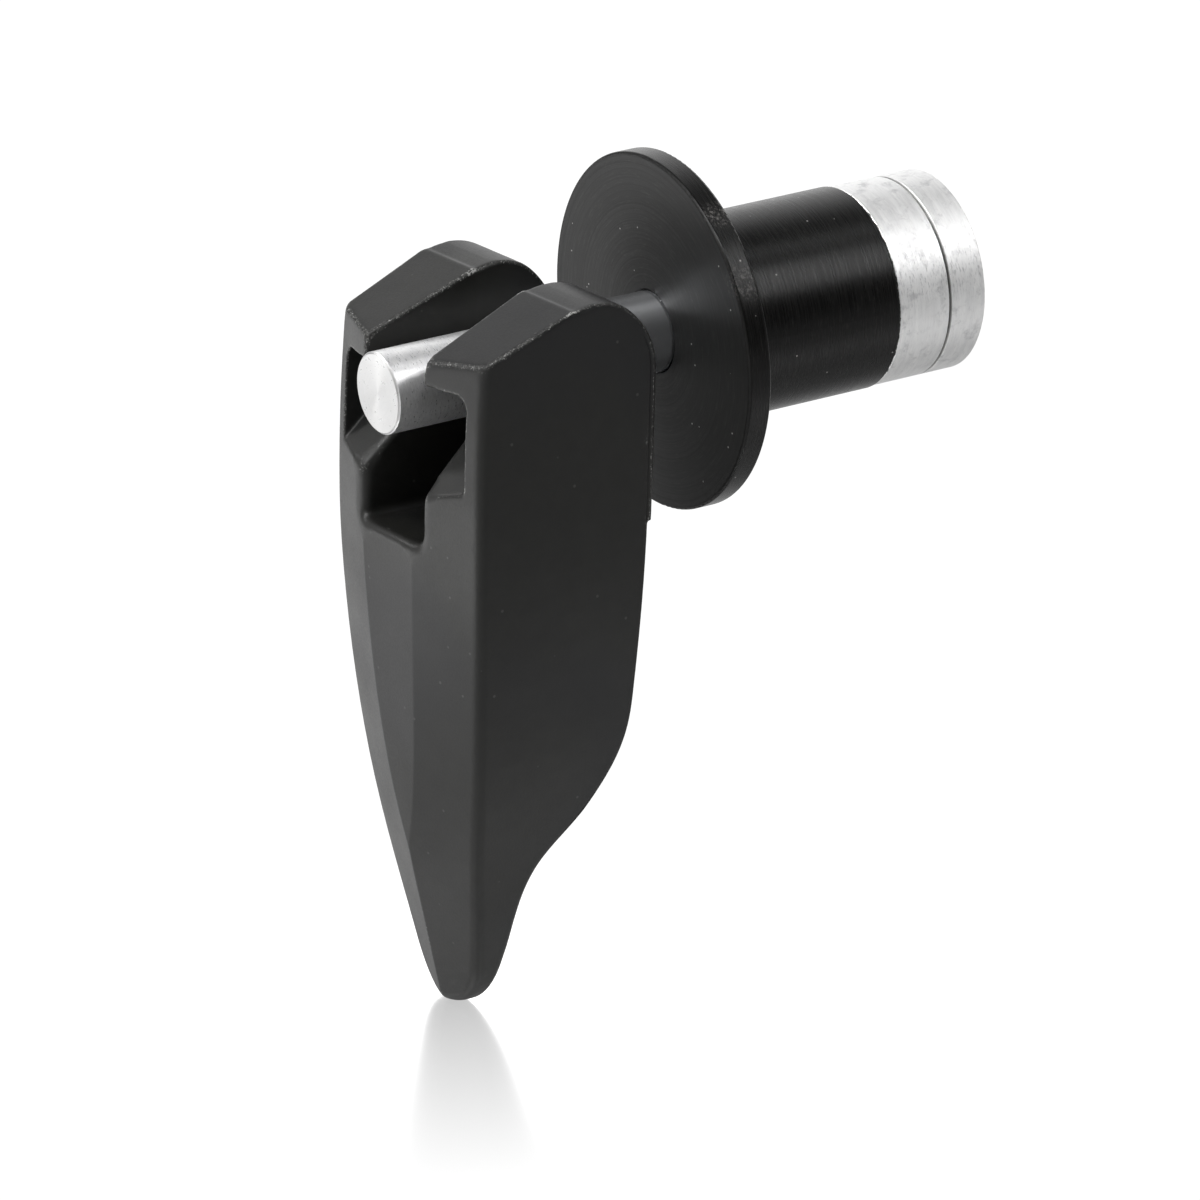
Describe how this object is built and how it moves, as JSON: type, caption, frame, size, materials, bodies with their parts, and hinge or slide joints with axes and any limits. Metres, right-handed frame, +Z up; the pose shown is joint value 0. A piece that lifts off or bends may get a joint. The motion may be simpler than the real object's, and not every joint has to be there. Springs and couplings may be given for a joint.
{
  "type": "cam lever with expanding plug",
  "caption": "Black moulded cam lever on a bright draw rod, with a flanged rubber plug and aluminium end rings that clamp and seal a tube end.",
  "frame": {"origin": "on the draw rod's axis, at the rear face of the flange, where the plugged tube ends", "axes": "+Y along the draw rod from the lever towards the plug's inner end, +Z up, away from the hanging lever's tip, +X across the fork"},
  "size_m": [0.035, 0.0624, 0.0797],
  "materials": {
    "moulded_black": "fine grained satin, injection moulded",
    "rubber_black": "turned, matt with concentric marks",
    "turned_aluminium": "turned, bright",
    "drawn_aluminium": "ground bar, bright",
    "pin_steel": "ground",
    "screw_steel": "zinc plated"
  },
  "bodies": {
    "bushing": {"bushing": "rubber_black"},
    "thrust_ring": {"thrust_ring": "turned_aluminium"},
    "rod": {"draw_rod": "drawn_aluminium", "end_disc": "turned_aluminium", "end_screw": "screw_steel"},
    "lever": {"lever": "moulded_black", "pivot_pin": "pin_steel"}
  },
  "joints": [
    {"name": "plug_spin", "type": "hinge", "parent": "bushing", "child": "thrust_ring", "pos_m": [0, 0, 0], "axis": [0, 1, 0], "continuous": true},
    {"name": "rod_slide", "type": "slide", "parent": "thrust_ring", "child": "rod", "axis": [0, 1, 0], "range_m": [0, 0.007]},
    {"name": "lever_swing", "type": "hinge", "parent": "rod", "child": "lever", "pos_m": [0, -0.02175, 0], "axis": [-1, 0, 0], "range_deg": [-5, 90]}
  ]
}
